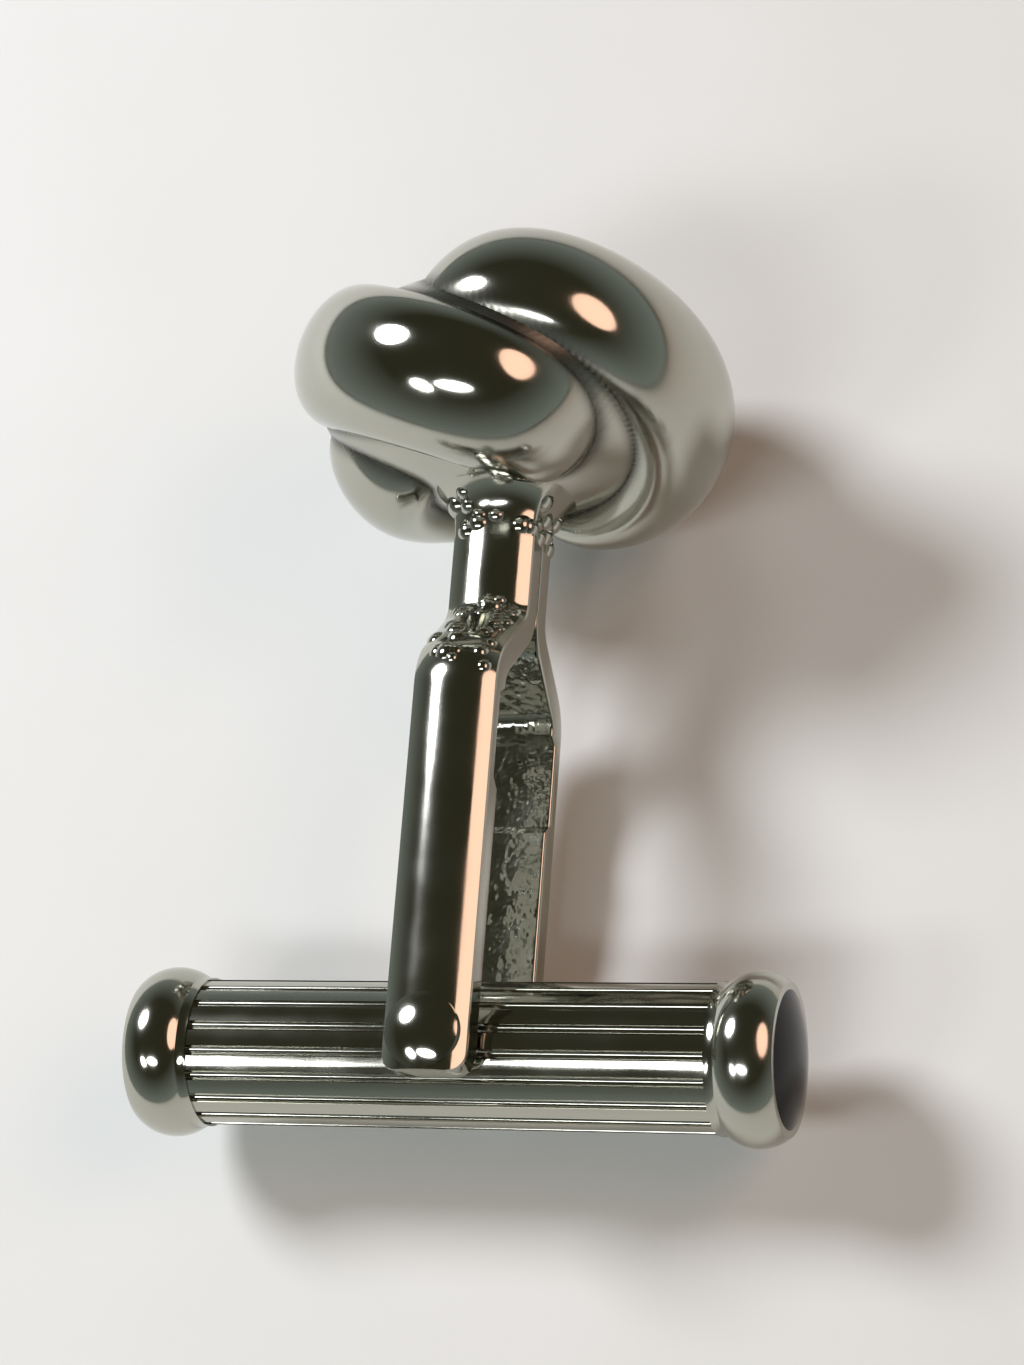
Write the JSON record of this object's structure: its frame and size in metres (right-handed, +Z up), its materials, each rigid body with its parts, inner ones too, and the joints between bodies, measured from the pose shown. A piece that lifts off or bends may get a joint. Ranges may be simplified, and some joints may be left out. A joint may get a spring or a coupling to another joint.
{
  "type": "cufflink",
  "caption": "Swivel-bar cufflink: knotted polished head on a forked post, with a fluted bar that turns on a pin to pass the buttonholes and lock the cuff.",
  "frame": {"origin": "middle of the bounding box in plan, at the table surface that the cufflink lies on", "axes": "+Z up from the table, X along the swivel bar, +Y from the bar along the post to the knotted head"},
  "size_m": [0.019, 0.0252, 0.0124],
  "materials": {
    "polished_metal": "mirror-polished, plated",
    "black_inlay": "glossy, domed",
    "spring_steel": "blued strip, rolled"
  },
  "bodies": {
    "post": {"knot_crescent_1": "polished_metal", "knot_crescent_2": "polished_metal", "knot_crescent_3": "polished_metal", "knot_core": "polished_metal", "post_leg_rear": "polished_metal", "post_leg_front": "polished_metal", "pivot_pin": "polished_metal"},
    "toggle": {"toggle_barrel": "polished_metal", "toggle_cap_right": "polished_metal", "toggle_cap_left": "polished_metal", "cap_inlay_right": "black_inlay", "cap_inlay_left": "black_inlay", "detent_spring_inner": "spring_steel", "detent_spring_outer": "spring_steel"}
  },
  "joints": [
    {"name": "bar_swivel", "type": "hinge", "parent": "post", "child": "toggle", "pos_m": [0, -0.01029, 0.00352], "axis": [0, -0.1466, 0.9892], "continuous": true, "deforming": ["detent_spring_inner", "detent_spring_outer"]}
  ]
}
